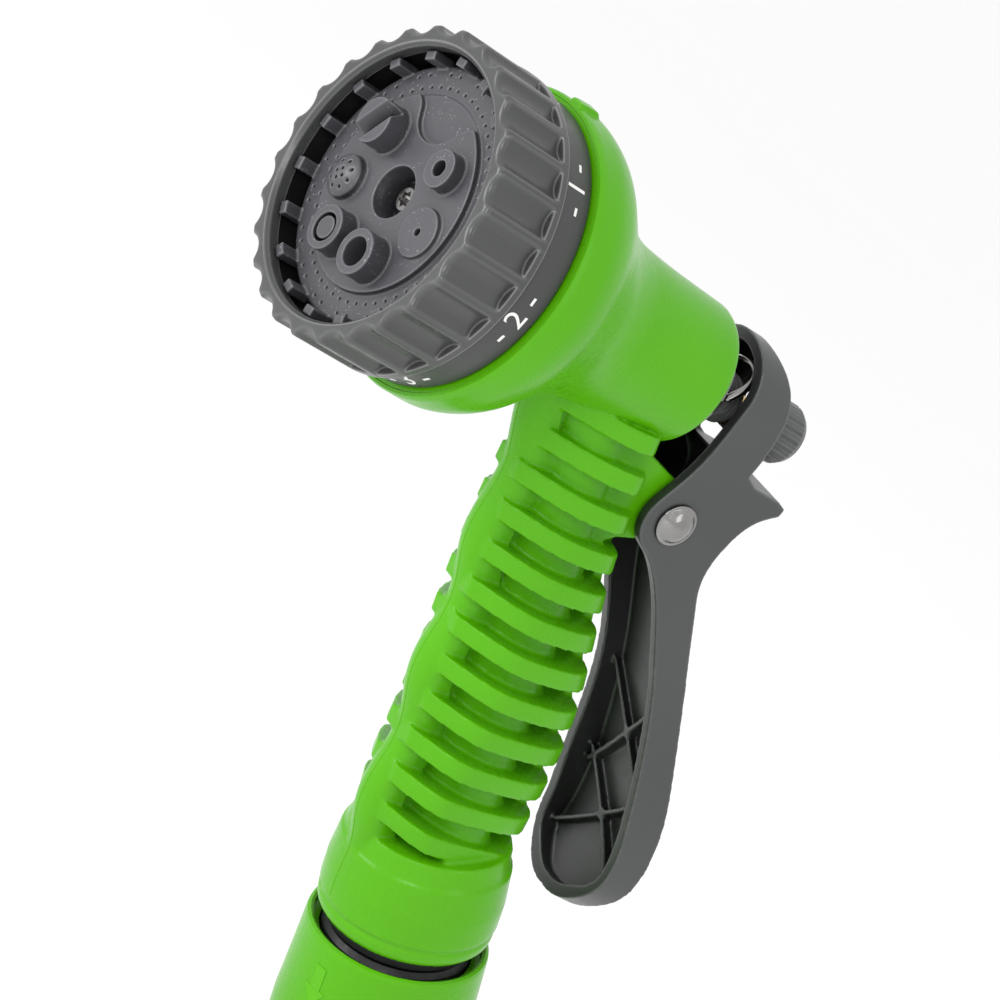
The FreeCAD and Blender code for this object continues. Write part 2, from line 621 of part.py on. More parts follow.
def coupling_body():
    profile = [(8.3, 137.6), (14.4, 137.6), (15.3, 138.6), (15.3, 153.2), (17.3, 153.2), (17.3, 170.0),
               (14.2, 170.0), (14.2, 180.0), (9.6, 180.0), (9.6, 172.0), (4.4, 172.0), (4.4, 182.6),
               (3.9, 183.6), (3.1, 183.6), (3.1, 161.0), (8.3, 159.4), (8.3, 145.0), (13.2, 145.0),
               (13.2, 141.0), (8.3, 141.0)]
    return turned_h(profile)


def coupling_jaws():
    """Four hook segments that hold the spigot's groove."""
    ring = ring_h(13.0, 7.3, 141.5, 144.5)
    middle = on_handle(143.0)
    for turn_by in (0, 90):
        gap = Part.makeBox(40, 3.2, 10, V(-20, -1.6, -5))
        gap.Placement = FreeCAD.Placement(middle, FreeCAD.Rotation(V(0, 0, 1), E_S))
        ring = ring.cut(about_h(gap, 45 + turn_by))
    return ring


def coupling_collar():
    outer = [(18.0, COLLAR_TOP), (18.6, 137.3), (18.8, 138.2), (19.3, 148.0), (19.9, 158.0), (19.9, 164.0), (19.2, 166.0)]
    inner = [(17.7, 166.0), (17.7, 146.6), (15.7, 146.6), (15.7, 139.6), (17.2, 138.6), (17.4, 137.3)]
    return turned_h(outer + inner)


def collar_spring():
    return coil(16.5, 0.5, on_handle(147.2), E_S, 5.4, 2.5)


def hose_nut():
    profile = [(14.3, 170.5), (17.6, 170.5), (18.2, 171.4), (18.2, 186.0), (16.4, 190.0), (13.2, 195.2),
               (12.4, NUT_END), (HOSE_R, NUT_END), (HOSE_R, NUT_END - HOSE_BORE), (8.8, NUT_END - HOSE_BORE),
               (12.9, 181.2), (14.3, 181.2)]
    nut = turned_h(profile)
    grooves = []
    for i in range(16):
        groove = cyl_h(1.5, 172.6, 192.0)
        groove.translate(E_T * 19.0)
        grooves.append(about_h(groove, 22.5 * i))
    return nut.cut(Part.makeCompound(grooves))


def hose_grip():
    cone = turned_h([(7.0, 180.5), (12.4, 180.5), (8.6, 186.4), (7.0, 186.4)])
    slit = Part.makeBox(20, 1.2, 20, V(0, -0.6, -10))
    slit.Placement = FreeCAD.Placement(on_handle(183.0), FreeCAD.Rotation(V(0, 0, 1), E_S))
    return cone.cut(slit)


NODES = {
    "housing": housing, "inlet_adapter": inlet_adapter, "inlet_washer": inlet_washer, "inlet_seal": inlet_seal,
    "distributor": distributor, "port_seal": port_seal, "port_spring": port_spring, "detent_ball": detent_ball,
    "detent_spring": detent_spring, "face_screw": face_screw, "face_washer": face_washer,
    "dial_ring": dial_ring, "face_plate": face_plate, "port_plate": port_plate,
    "valve_stem": valve_stem, "valve_seal": valve_seal, "return_spring": return_spring, "gland_nut": gland_nut,
    "gland_seal": gland_seal, "stem_seal": stem_seal, "lever": lever, "pivot_rivet": pivot_rivet,
    "rivet_washer": rivet_washer, "flow_knob": flow_knob, "lock_clip": lock_clip,
    "coupling_body": coupling_body, "coupling_jaws": coupling_jaws, "coupling_collar": coupling_collar,
    "collar_spring": collar_spring, "hose_nut": hose_nut, "hose_grip": hose_grip,
}

os.makedirs("parts", exist_ok=True)
for name, make in NODES.items():
    shape = make()
    shape.translate(-MOUTH)
    print(name, shape.ShapeType, len(shape.Solids), round(shape.Volume, 1), shape.isValid())
    shape.exportStep("parts/" + name + ".step")
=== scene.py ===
import json
import math

import bmesh
import bpy
import numpy as np
from mathutils import Matrix, Vector
from mathutils.bvhtree import BVHTree

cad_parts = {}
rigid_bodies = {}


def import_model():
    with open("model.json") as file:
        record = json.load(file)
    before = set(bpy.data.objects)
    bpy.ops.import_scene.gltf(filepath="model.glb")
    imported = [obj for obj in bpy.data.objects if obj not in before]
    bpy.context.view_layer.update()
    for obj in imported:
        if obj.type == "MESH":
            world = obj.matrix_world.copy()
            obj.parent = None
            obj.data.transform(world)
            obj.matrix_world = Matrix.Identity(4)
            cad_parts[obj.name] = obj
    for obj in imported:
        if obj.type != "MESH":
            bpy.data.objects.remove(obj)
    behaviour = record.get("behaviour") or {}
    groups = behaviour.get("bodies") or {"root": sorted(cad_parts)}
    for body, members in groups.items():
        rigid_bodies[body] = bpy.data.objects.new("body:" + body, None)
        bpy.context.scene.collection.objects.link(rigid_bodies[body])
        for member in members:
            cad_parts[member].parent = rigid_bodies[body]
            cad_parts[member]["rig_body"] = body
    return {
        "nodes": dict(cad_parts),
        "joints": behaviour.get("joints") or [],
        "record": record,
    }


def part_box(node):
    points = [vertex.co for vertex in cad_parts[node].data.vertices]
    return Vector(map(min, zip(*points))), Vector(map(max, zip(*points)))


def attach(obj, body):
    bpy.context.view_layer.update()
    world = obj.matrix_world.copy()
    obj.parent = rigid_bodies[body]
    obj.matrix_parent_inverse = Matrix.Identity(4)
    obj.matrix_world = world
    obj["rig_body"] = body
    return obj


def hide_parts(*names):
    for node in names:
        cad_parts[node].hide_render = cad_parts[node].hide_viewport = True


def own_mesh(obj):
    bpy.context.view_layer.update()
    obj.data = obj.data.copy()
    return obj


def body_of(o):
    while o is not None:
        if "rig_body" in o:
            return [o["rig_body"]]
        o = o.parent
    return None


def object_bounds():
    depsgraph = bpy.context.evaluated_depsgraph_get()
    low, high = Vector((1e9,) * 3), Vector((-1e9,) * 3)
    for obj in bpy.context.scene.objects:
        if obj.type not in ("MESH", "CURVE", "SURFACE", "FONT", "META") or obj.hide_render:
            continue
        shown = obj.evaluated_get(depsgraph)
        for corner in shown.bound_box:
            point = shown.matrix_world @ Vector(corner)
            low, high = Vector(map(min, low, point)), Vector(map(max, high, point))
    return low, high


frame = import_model()
CAD_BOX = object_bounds()

MM = 0.001
TAU = 2 * math.pi
NODES = frame["nodes"]
JOINTS = {j["name"]: j for j in frame["joints"]}
MOUNT = frame["record"]["mounts"][0]

# ------------------------------------------------------------------ places, from the frame
# The spray axis is Y. spray(x, y, z) is in millimetres, z up from the axis and y back from a plane 1 mm
# behind the dial's front rim.
AXIS_Z = JOINTS["dial_turn"]["pos_m"][2]
FRONT_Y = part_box("dial_ring")[0].y + 0.001
DOWN = Vector(MOUNT["axis"]).normalized()        # along the handle, towards the hose
BEHIND = Vector((0, -DOWN.z, DOWN.y))            # square to it, towards the lever
MOUTH_S = 196.0                                  # distance down the handle of the frame's origin
PIVOT = Vector(JOINTS["lever_squeeze"]["pos_m"])


def spray(x, y, z):
    return Vector((x * MM, FRONT_Y + y * MM, AXIS_Z + z * MM))


def handle(s, t=0.0, x=0.0):
    """Point s mm down the handle, t mm behind its axis and x mm across."""
    return DOWN * ((s - MOUTH_S) * MM) + BEHIND * (t * MM) + Vector((x * MM, 0, 0))


def around(r, degrees, y):
    """Point on a circle round the spray axis, from the top towards +X."""
    a = math.radians(degrees)
    return spray(r * math.sin(a), y, r * math.cos(a))


def around_handle(r, degrees, s):
    """Point on a circle round the handle's axis, from the back towards +X."""
    a = math.radians(degrees)
    return handle(s, r * math.cos(a), r * math.sin(a))


# ------------------------------------------------------------------ materials
def new_material(name):
    material = bpy.data.materials.new(name)
    material.use_nodes = True
    tree = material.node_tree
    shader = tree.nodes["Principled BSDF"]
    return material, tree, shader


def noise(tree, scale, detail=3.0, rough=0.5):
    where = tree.nodes.new("ShaderNodeTexCoord")
    node = tree.nodes.new("ShaderNodeTexNoise")
    node.inputs["Scale"].default_value = scale
    node.inputs["Detail"].default_value = detail
    node.inputs["Roughness"].default_value = rough
    tree.links.new(where.outputs["Object"], node.inputs["Vector"])
    return node.outputs["Fac"]


def ramp(tree, source, stops):
    """Colour ramp from (position, colour) stops."""
    node = tree.nodes.new("ShaderNodeValToRGB")
    while len(node.color_ramp.elements) < len(stops):
        node.color_ramp.elements.new(0.5)
    for element, (position, colour) in zip(node.color_ramp.elements, stops):
        element.position = position
        element.color = (*colour, 1.0)
    tree.links.new(source, node.inputs["Fac"])
    return node.outputs["Color"]


def grey_ramp(tree, source, low, high, start=0.3, end=0.7):
    return ramp(tree, source, [(start, (low,) * 3), (end, (high,) * 3)])


def bump(tree, shader, source, strength, distance):
    node = tree.nodes.new("ShaderNodeBump")
    node.inputs["Strength"].default_value = strength
    node.inputs["Distance"].default_value = distance
    tree.links.new(source, node.inputs["Height"])
    tree.links.new(node.outputs["Normal"], shader.inputs["Normal"])


def mix_colour(tree, factor, a, b, mode="MIX"):
    node = tree.nodes.new("ShaderNodeMix")
    node.data_type = "RGBA"
    node.blend_type = mode
    for name, value in (("Factor", factor), ("A", a), ("B", b)):
        socket = [s for s in node.inputs if s.name == name and s.enabled][0]
        if isinstance(value, bpy.types.NodeSocket):
            tree.links.new(value, socket)
        elif name == "Factor":
            socket.default_value = value
        else:
            socket.default_value = (*value, 1.0)
    return [s for s in node.outputs if s.enabled][0]


FULL_WEAR_AND_HIGHLIGHT = 0.94         # cosine between the real and the rounded normal where an edge is rubbed bare and its painted highlight is full


def edge_mask(tree, radius):
    """White on sharp convex and concave edges within a radius, black elsewhere."""
    bevel = tree.nodes.new("ShaderNodeBevel")
    bevel.samples = 4
    bevel.inputs["Radius"].default_value = radius
    shape = tree.nodes.new("ShaderNodeNewGeometry")
    dot = tree.nodes.new("ShaderNodeVectorMath")
    dot.operation = "DOT_PRODUCT"
    tree.links.new(bevel.outputs["Normal"], dot.inputs[0])
    tree.links.new(shape.outputs["Normal"], dot.inputs[1])
    spread = tree.nodes.new("ShaderNodeMapRange")
    spread.inputs["From Min"].default_value = 1.0
    spread.inputs["From Max"].default_value = FULL_WEAR_AND_HIGHLIGHT
    tree.links.new(dot.outputs["Value"], spread.inputs["Value"])
    return spread.outputs["Result"]


def painted_hollow_shade(tree, base, reach, darkest):
    """Darkens a colour in hollows narrower than reach: painted shade where tight shadow falls."""
    near = tree.nodes.new("ShaderNodeAmbientOcclusion")
    near.samples = 6
    near.inputs["Distance"].default_value = reach
    spread = tree.nodes.new("ShaderNodeMapRange")
    spread.inputs["From Min"].default_value = 0.15
    spread.inputs["From Max"].default_value = 0.85
    spread.inputs["To Min"].default_value = darkest
    tree.links.new(near.outputs["AO"], spread.inputs["Value"])
    grey = tree.nodes.new("ShaderNodeCombineColor")
    for name in ("Red", "Green", "Blue"):
        tree.links.new(spread.outputs["Result"], grey.inputs[name])
    return mix_colour(tree, 1.0, base, grey.outputs["Color"], "MULTIPLY")


def specks(tree, base, colour, scale, share):
    """Sparse pale specks of dust and scuffed plastic."""
    dots = grey_ramp(tree, noise(tree, scale, 2.0, 0.6), 0.0, 1.0, share, share + 0.02)
    patch = grey_ramp(tree, noise(tree, scale / 12, 2.0), 0.0, 1.0, 0.5, 0.6)
    return mix_colour(tree, mix_colour(tree, 1.0, dots, patch, "MULTIPLY"), base, colour)


# radius within which edges are lightened, as wear with a painted highlight
WORN_HIGHLIT_EDGE = 0.55 * MM
GRAIN_SCALE, SPECK_SCALE, SPECK_SHARE = 2600.0, 2400.0, 0.67


def plastic(name, colour, shade=0.06, rough=(0.34, 0.44), specular=0.5, grain=0.12,
            wear_and_highlight=None, hollow=None, dusty=None):
    """Injection moulded plastic with a slight colour drift and fine grain. worn is the colour of rubbed edges
    with a painted highlight on them, dusty that of specks, and hollow the (reach, darkest) of
    painted_hollow_shade, the painted shade in hollows."""
    material, tree, shader = new_material(name)
    drift = noise(tree, 38.0, 4.0)
    dark = tuple(c * (1 - shade) for c in colour)
    light = tuple(min(1.0, c * (1 + shade)) for c in colour)
    base = ramp(tree, drift, [(0.35, dark), (0.65, light)])
    # edges lightened: wear with a painted highlight on them
    if wear_and_highlight:
        base = mix_colour(tree, edge_mask(tree, WORN_HIGHLIT_EDGE), base, wear_and_highlight)
    if dusty:
        base = specks(tree, base, dusty, SPECK_SCALE, SPECK_SHARE)
    # painted shade darkening the colour in hollows
    if hollow:
        base = painted_hollow_shade(tree, base, *hollow)
    tree.links.new(base, shader.inputs["Base Color"])
    tree.links.new(grey_ramp(tree, noise(tree, 420.0, 5.0), *rough), shader.inputs["Roughness"])
    shader.inputs["Specular IOR Level"].default_value = specular
    bump(tree, shader, noise(tree, GRAIN_SCALE, 2.0), grain, 0.03 * MM)
    return material


def rubber(name, colour):
    """Matt rubber with a mottled surface."""
    material, tree, shader = new_material(name)
    light = tuple(c * 1.5 for c in colour)
    tree.links.new(ramp(tree, noise(tree, 900.0), [(0.3, colour), (0.7, light)]), shader.inputs["Base Color"])
    tree.links.new(grey_ramp(tree, noise(tree, 300.0), 0.45, 0.62), shader.inputs["Roughness"])
    bump(tree, shader, noise(tree, 3200.0, 1.0), 0.2, 0.03 * MM)
    return material


def metal(name, colour, rough=(0.12, 0.28), scratches=0.15):
    """Drawn or pressed metal with fine scratches and dull spots."""
    material, tree, shader = new_material(name)
    shader.inputs["Metallic"].default_value = 1.0
    dull = tuple(c * 0.82 for c in colour)
    base = ramp(tree, noise(tree, 260.0, 4.0), [(0.3, dull), (0.7, colour)])
    tree.links.new(base, shader.inputs["Base Color"])
    tree.links.new(grey_ramp(tree, noise(tree, 700.0, 6.0, 0.7), *rough), shader.inputs["Roughness"])
    bump(tree, shader, noise(tree, 1500.0, 6.0, 0.7), scratches, 0.02 * MM)
    return material


GLOSSY = dict(shade=0.03, rough=(0.24, 0.30), specular=0.22, grain=0.004)
GREEN = plastic("green_plastic", (0.080, 0.352, 0.002), **GLOSSY)
# slightly lighter copy of the green for the raised flash line and arrow: a painted highlight
GREEN_BEAD_HIGHLIT = plastic("green_bead_highlit", (0.090, 0.385, 0.003), **GLOSSY)
# hollow gives the dial, face and lever painted shade in their hollows, deepest inside the lever
DIAL = plastic("dial_plastic", (0.049, 0.050, 0.050), rough=(0.26, 0.36), wear_and_highlight=(0.26, 0.26, 0.265),
               hollow=(4 * MM, 0.5))
# darker copy of the dial's grey for the band: painted shade
BAND_SHADED = plastic("band_plastic_shaded", (0.040, 0.041, 0.041), rough=(0.34, 0.44), grain=0.08)
FACE = plastic("face_plastic", (0.054, 0.054, 0.061), rough=(0.32, 0.42), wear_and_highlight=(0.125, 0.125, 0.135),
               hollow=(5 * MM, 0.35), dusty=(0.30, 0.30, 0.32))
LEVER = plastic("lever_plastic", (0.046, 0.048, 0.048), rough=(0.30, 0.38), wear_and_highlight=(0.14, 0.145, 0.145),
                hollow=(26 * MM, 0.10))
BLACK = plastic("black_plastic", (0.010, 0.010, 0.011), shade=0.2, rough=(0.34, 0.5), specular=0.3)
RUBBER = rubber("black_rubber", (0.010, 0.010, 0.010))
STEEL = metal("bright_steel", (0.30, 0.295, 0.29), (0.10, 0.24), 0.25)
BRASS = metal("brass", (0.62, 0.45, 0.2), (0.2, 0.35))
INK = plastic("white_ink", (0.78, 0.78, 0.76), shade=0.03, rough=(0.5, 0.62), grain=0.05)

BY_SLOT = {"green": GREEN, "dial_grey": DIAL, "face_grey": FACE, "lever_grey": LEVER, "dark_plastic": BLACK,
           "rubber": RUBBER, "steel": STEEL, "brass": BRASS}


def paint_nodes():
    """Gives each CAD node the material of its slot in the record."""
    for part in frame["record"]["subparts"]:
        mesh = NODES[part["node"]].data
        mesh.materials.clear()
        mesh.materials.append(BY_SLOT[part["material_slot"]])


# ------------------------------------------------------------------ mesh building
def smooth_by_angle(mesh, degrees):
    """Smooth shading, with edges sharper than an angle kept crisp."""
    mesh.polygons.foreach_set("use_smooth", [True] * len(mesh.polygons))
    limit = math.radians(degrees)
    work = bmesh.new()
    work.from_mesh(mesh)
    for edge in work.edges:
        edge.smooth = len(edge.link_faces) != 2 or edge.calc_face_angle(0.0) < limit
    work.to_mesh(mesh)
    work.free()


def piece(name, mesh, body, material, replaces=()):
    """Puts a finished mesh on a body, as the stand-in for CAD nodes if any are named."""
    made = bpy.data.objects.new(name, mesh)
    bpy.context.scene.collection.objects.link(made)
    mesh.materials.clear()
    mesh.materials.append(material)
    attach(made, body)
    if replaces:
        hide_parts(*replaces)
    return made


def mesh_of(name, points, faces):
    """Mesh with doubled points merged and its faces turned outwards."""
    mesh = bpy.data.meshes.new(name)
    mesh.from_pydata([tuple(p) for p in points], [], faces)
    work = bmesh.new()
    work.from_mesh(mesh)
    bmesh.ops.remove_doubles(work, verts=work.verts, dist=0.002 * MM)
    bmesh.ops.recalc_face_normals(work, faces=work.faces)
    work.to_mesh(mesh)
    work.free()
    return mesh


def closed_grid(name, rows):
    """Ring-shaped or tube-shaped skin from rows of equal length, each a closed loop, joined last to first."""
    count = len(rows[0])
    points = [p for row in rows for p in row]
    faces = []
    for i in range(len(rows)):
        below = (i + 1) % len(rows)
        for k in range(count):
            side = (k + 1) % count
            faces.append((i * count + k, i * count + side, below * count + side, below * count + k))
    return mesh_of(name, points, faces)


def capped_grid(name, rows):
    """Skin through open rows of closed loops with both ends filled."""
    count = len(rows[0])
    points = [p for row in rows for p in row]
    faces = [tuple(range(count)), tuple(range((len(rows) - 1) * count, len(rows) * count))]
    for i in range(len(rows) - 1):
        for k in range(count):
            side = (k + 1) % count
            faces.append((i * count + k, i * count + side, (i + 1) * count + side, (i + 1) * count + k))
    return mesh_of(name, points, faces)


def rounded_path(corners, step=14.0):
    """Closed outline through (a, b, radius) corners, each an arc with points about every step degrees."""
    out = []
    for i, (a, b, radius) in enumerate(corners):
        here = Vector((a, b))
        if radius <= 0:
            out.append((a, b))
            continue
        before = Vector(corners[i - 1][:2]) - here
        after = Vector(corners[(i + 1) % len(corners)][:2]) - here
        half = before.angle(after) / 2
        reach = min(radius / math.tan(half), 0.48 * before.length, 0.48 * after.length)
        size = reach * math.tan(half)
        start, end = here + before.normalized() * reach, here + after.normalized() * reach
        centre = here + (before.normalized() + after.normalized()).normalized() * (size / math.sin(half))
        sweep = (start - centre).angle(end - centre)
        count = max(2, int(math.degrees(sweep) / step) + 1)
        first = math.atan2(*(start - centre).yx)
        last = math.atan2(*(end - centre).yx)
        turn = (last - first + math.pi) % TAU - math.pi
        for k in range(count + 1):
            angle = first + turn * k / count
            out.append((centre.x + size * math.cos(angle), centre.y + size * math.sin(angle)))
    return out


def lathe(name, corners, place, count):
    """Turned solid from an outline of (radius, along, corner radius) corners; place(r, degrees, along)."""
    path = rounded_path(corners)
    return closed_grid(name, [[place(r, 360.0 * k / count, a) for k in range(count)] for r, a in path])


def join_meshes(name, meshes):
    """One mesh holding all of several."""
    work = bmesh.new()
    for mesh in meshes:
        work.from_mesh(mesh)
    out = bpy.data.meshes.new(name)
    work.to_mesh(out)
    work.free()
    return out


MOST_TRIANGLES = 190000


def moulded(name, meshes, voxel, passes):
    """Fuses closed meshes into one skin with softly rounded edges, as a moulding has."""
    raw = bpy.data.objects.new(name + "_raw", join_meshes(name + "_raw", meshes))
    bpy.context.scene.collection.objects.link(raw)
    skin = raw.modifiers.new("skin", "REMESH")
    skin.mode = "VOXEL"
    skin.voxel_size = voxel
    soft = raw.modifiers.new("soft", "SMOOTH")
    soft.factor = 0.5
    soft.iterations = passes
    graph = bpy.context.evaluated_depsgraph_get()
    size = sum(len(p.vertices) - 2 for p in raw.evaluated_get(graph).data.polygons)
    if size > MOST_TRIANGLES:
        fewer = raw.modifiers.new("fewer", "DECIMATE")
        fewer.ratio = MOST_TRIANGLES / size
    graph = bpy.context.evaluated_depsgraph_get()
    mesh = bpy.data.meshes.new_from_object(raw.evaluated_get(graph))
    mesh.name = name
    bpy.data.objects.remove(raw)
    mesh.polygons.foreach_set("use_smooth", [True] * len(mesh.polygons))
    return mesh


# ------------------------------------------------------------------ green housing
TUBE_TOP, TUBE_END, TUBE_BORE = 14, 112, 6.5
TUBE_TOP_R, TUBE_END_R = 8.6, 10.6
TUBE_OFFSET, TUBE_LEAN = 4.4, 0.034        # the tube starts behind the handle's axis and comes back towards it


def on_tube(r, degrees, s):
    """Point on a circle round the water tube inside the handle."""
    a = math.radians(degrees)
    return handle(s, TUBE_OFFSET - TUBE_LEAN * s + r * math.cos(a), r * math.sin(a))


def build_housing():
    """The CAD moulding with a fuller water tube between the fins, rounded as a moulding is."""
    full = lathe("full_tube", [(TUBE_BORE, TUBE_TOP, 0), (TUBE_TOP_R, TUBE_TOP, 0), (TUBE_END_R, TUBE_END, 0),
                               (TUBE_BORE, TUBE_END, 0)], on_tube, 96)
    mesh = moulded("housing_skin", [NODES["housing"].data, full], 0.38 * MM, 2)
    return piece("housing_skin", mesh, "housing_body", GREEN, ["housing"])


# (radius, distance behind the front) down the bell and along the barrel
BELL = [(30.6, 25.4), (30.35, 30.0), (28.35, 35.0), (24.7, 40.0), (20.9, 45.0), (18.0, 50.0), (16.2, 55.4),
        (15.5, 60.5), (14.9, 69.0), (14.4, 81.8)]

BELL_LIP = [(29.7, 22.95), (30.3, 23.1), (30.6, 23.7)]
BARREL_END = [(14.1, 82.6), (13.4, 83.1)]
BELL_WALL, BELL_INSIDE, BELL_SIDES = 0.7, 23.6, 256


def smooth_through(points, steps):
    """Catmull-Rom curve through points."""
    ends = [points[0]] + list(points) + [points[-1]]
    out = []
    for a, b, c, d in zip(ends, ends[1:], ends[2:], ends[3:]):
        a, b, c, d = map(Vector, (a, b, c, d))
        for k in range(steps):
            q = k / steps
            out.append(tuple(0.5 * (2 * b + (c - a) * q + (2 * a - 5 * b + 4 * c - d) * q ** 2
                                    + (3 * b - a - 3 * c + d) * q ** 3)))
    return out + [tuple(points[-1])]


def build_bell():
    """Smooth turned skin over the bell and barrel, just proud of the moulding under it."""
    outer = BELL_LIP + smooth_through(BELL, 8) + BARREL_END
    inner = [(r - BELL_WALL, max(y, BELL_INSIDE)) for r, y in reversed(outer)]
    rows = []
    for r, y in outer + inner:
        proud = 0.1 + 0.2 * min(1.0, max(0.0, (y - 26.0) / 8.0))
        rows.append([around(r + proud, 360.0 * k / BELL_SIDES, y) for k in range(BELL_SIDES)])
    mesh = closed_grid("bell_skin", rows)
    smooth_by_angle(mesh, 30)
    piece("bell_skin", mesh, "housing_body", GREEN)


# ------------------------------------------------------------------ lever
def build_lever():
    """The CAD lever with its edges rounded as a moulding's are."""
    mesh = moulded("lever_skin", [NODES["lever"].data], 0.30 * MM, 3)
    return piece("lever_skin", mesh, "lever_body", LEVER, ["lever"])


# ------------------------------------------------------------------ dial
RIDGES = 26
POINTS_PER_RIDGE = 24
RIDGE_R, VALLEY_R, FLUTE_CUT, FLUTE_END = 30.4, 29.0, 4.1, 13.2
BAND_R, BAND_FRONT, BAND_BACK = 29.0, 15.1, 22.55


def soft_min(a, b, blend):
    """Smallest of two values, rounded over where they meet."""
    h = np.clip(0.5 + 0.5 * (b - a) / blend, 0, 1)
    return b + (a - b) * h - blend * h * (1 - h)


def flute_radius(degrees):
    """Radius of the fluted outside at an angle: round hollows between narrow ridges."""
    pitch = 360.0 / RIDGES
    off = math.radians((degrees % pitch) - pitch / 2)
    centre = VALLEY_R + FLUTE_CUT
    across = centre * math.sin(off)
    hollow = RIDGE_R + 1
    if abs(across) < FLUTE_CUT:
        hollow = centre * math.cos(off) - math.sqrt(FLUTE_CUT ** 2 - across ** 2)
    return float(soft_min(hollow, RIDGE_R, 0.25))


def fluted(r, y, degrees):
    """Radius of a point of the ring's outline once the flutes are cut in it."""
    if r <= 28.0 or y >= 15.0:
        return r
    limit = flute_radius(degrees) if y < FLUTE_END else RIDGE_R
    return r - (RIDGE_R - limit) if r > 29.2 else min(r, limit)


def blacken_undercut(mesh):
    """The ring's inside behind its lip is in deep shade, so it gets the black plastic."""
    mesh.materials.append(BLACK)
    for polygon in mesh.polygons:
        place = (polygon.center - spray(0, 0, 0)) / MM
        if math.hypot(place.x, place.z) < 27.5 and place.y > 2.3:
            polygon.material_index = 1


def build_dial():
    """Fluted ring: the hollows run out through the front and stop short of the flange."""
    outline = rounded_path([
        (27.2, 16.2, 0.3), (27.2, 2.7, 0.3), (26.4, 2.0, 0.15), (26.4, -0.2, 0.5), (27.1, -1.0, 0.4),
        (RIDGE_R, -1.0, 1.3), (RIDGE_R, 1.4, 0), (RIDGE_R, 7.0, 0), (RIDGE_R, 12.4, 0), (RIDGE_R, 13.15, 0),
        (RIDGE_R, 13.35, 0), (RIDGE_R, 15.1, 0.3), (29.2, 15.15, 0.1), (28.3, 15.15, 0), (28.3, 16.2, 0)],
        step=12.0)
    angles = [360.0 * k / (RIDGES * POINTS_PER_RIDGE) for k in range(RIDGES * POINTS_PER_RIDGE)]
    mesh = closed_grid("dial_skin", [[around(fluted(r, y, a), a, y) for a in angles] for r, y in outline])
    smooth_by_angle(mesh, 40)
    piece("dial_skin", mesh, "dial", DIAL, ["dial_ring"])
    blacken_undercut(mesh)


def build_band():
    """Plain band behind the flutes, which carries the numerals."""
    mesh = lathe("dial_band", [(28.2, 15.3, 0), (BAND_R, BAND_FRONT, 0), (BAND_R, BAND_BACK, 0.25),
                               (26.6, BAND_BACK, 0.2), (26.6, 16.3, 0.2), (27.0, 15.9, 0)], around, 256)
    smooth_by_angle(mesh, 40)
    # the band's darker grey is painted shade
    piece("dial_band", mesh, "dial", BAND_SHADED)


PATTERNS = 7
LEGEND_AT, LEGEND_STEP = 43.7, 360.0 / PATTERNS
LEGEND_SIZE, LEGEND_Y, INK_LIFT = 6.2, 18.9, 0.03


def on_band(mesh, centre):
    """Wraps a flat mesh in millimetres round the label band, tops towards the front."""
    for vertex in mesh.vertices:
        u, v, w = vertex.co
        angle = centre - math.degrees(u / BAND_R)
        vertex.co = around(BAND_R + INK_LIFT + w, angle, LEGEND_Y - v)
    mesh.update()


def build_legends():
    """Plain numerals with a short mark on each side stand in for the printed pattern names."""
    meshes = []
    for number in range(PATTERNS):
        text = bpy.data.curves.new("numeral", "FONT")
        text.body = "- " + str(number + 1) + " -"
        text.size = LEGEND_SIZE
        text.extrude = 0.02
        text.align_x, text.align_y = "CENTER", "CENTER"
        holder = bpy.data.objects.new("numeral", text)
        bpy.context.scene.collection.objects.link(holder)
        graph = bpy.context.evaluated_depsgraph_get()
        mesh = bpy.data.meshes.new_from_object(holder.evaluated_get(graph))
        bpy.data.objects.remove(holder)
        on_band(mesh, LEGEND_AT + LEGEND_STEP * number)
        meshes.append(mesh)
    piece("pattern_numerals", join_meshes("pattern_numerals", meshes), "dial", INK)


TOWER_RING, FIRST_TOWER = 13.2, 45.0
SLEEVE_ROOT = 5.2
# (place, outer radius, inner radius, front) of each ring or post that makes a tower of the face fuller
SLEEVES = [(0, 3.7, 2.4, 0.6), (1, 4.8, 3.6, 2.4), (2, 4.4, 3.2, -1.0), (3, 4.3, 3.2, -0.6),
           (3, 2.2, 0.0, -0.4)]
SHOWER_PLACE, SHOWER_R, SHOWER_RISE, SHOWER_ROOT = 4, 4.4, 1.5, 3.4


def tower_at(place):
    """Sideways step from the spray axis to a place on the face."""
    return around(TOWER_RING, FIRST_TOWER + 360.0 * place / PATTERNS, 0) - spray(0, 0, 0)


def sleeve(place, outer, inner, front):
    """Ring or post on the face at one of the seven places."""
    def ring(r, degrees, y):
        return tower_at(place) + around(r, degrees, y)
    hole = inner + 0.01
    outline = [(hole, front, 0), (outer, front, 0), (outer, SLEEVE_ROOT, 0), (hole, SLEEVE_ROOT, 0)]
    return lathe("sleeve", outline, ring, 64)


def dome_shower(mesh):
    """Pushes the front of the shower tower out into a shallow dome."""
    middle = spray(0, 0, 0) + tower_at(SHOWER_PLACE)
    for vertex in mesh.vertices:
        off = (vertex.co - middle) / MM
        share = (off.x ** 2 + off.z ** 2) / SHOWER_R ** 2
        if share < 1 and off.y < SHOWER_ROOT:
            vertex.co.y -= SHOWER_RISE * (1 - share) * MM


def build_face():
    """The CAD face with fuller towers and the shower's dome."""
    mesh = moulded("face_skin", [NODES["face_plate"].data] + [sleeve(*s) for s in SLEEVES], 0.19 * MM, 2)
    dome_shower(mesh)
    piece("face_skin", mesh, "dial", FACE, ["face_plate"])


# ------------------------------------------------------------------ rivet
def round_pivot(r, degrees, x):
    """Point on a circle round the lever's pivot."""
    a = math.radians(degrees)
    return PIVOT + Vector((x * MM, r * MM * math.cos(a), r * MM * math.sin(a)))


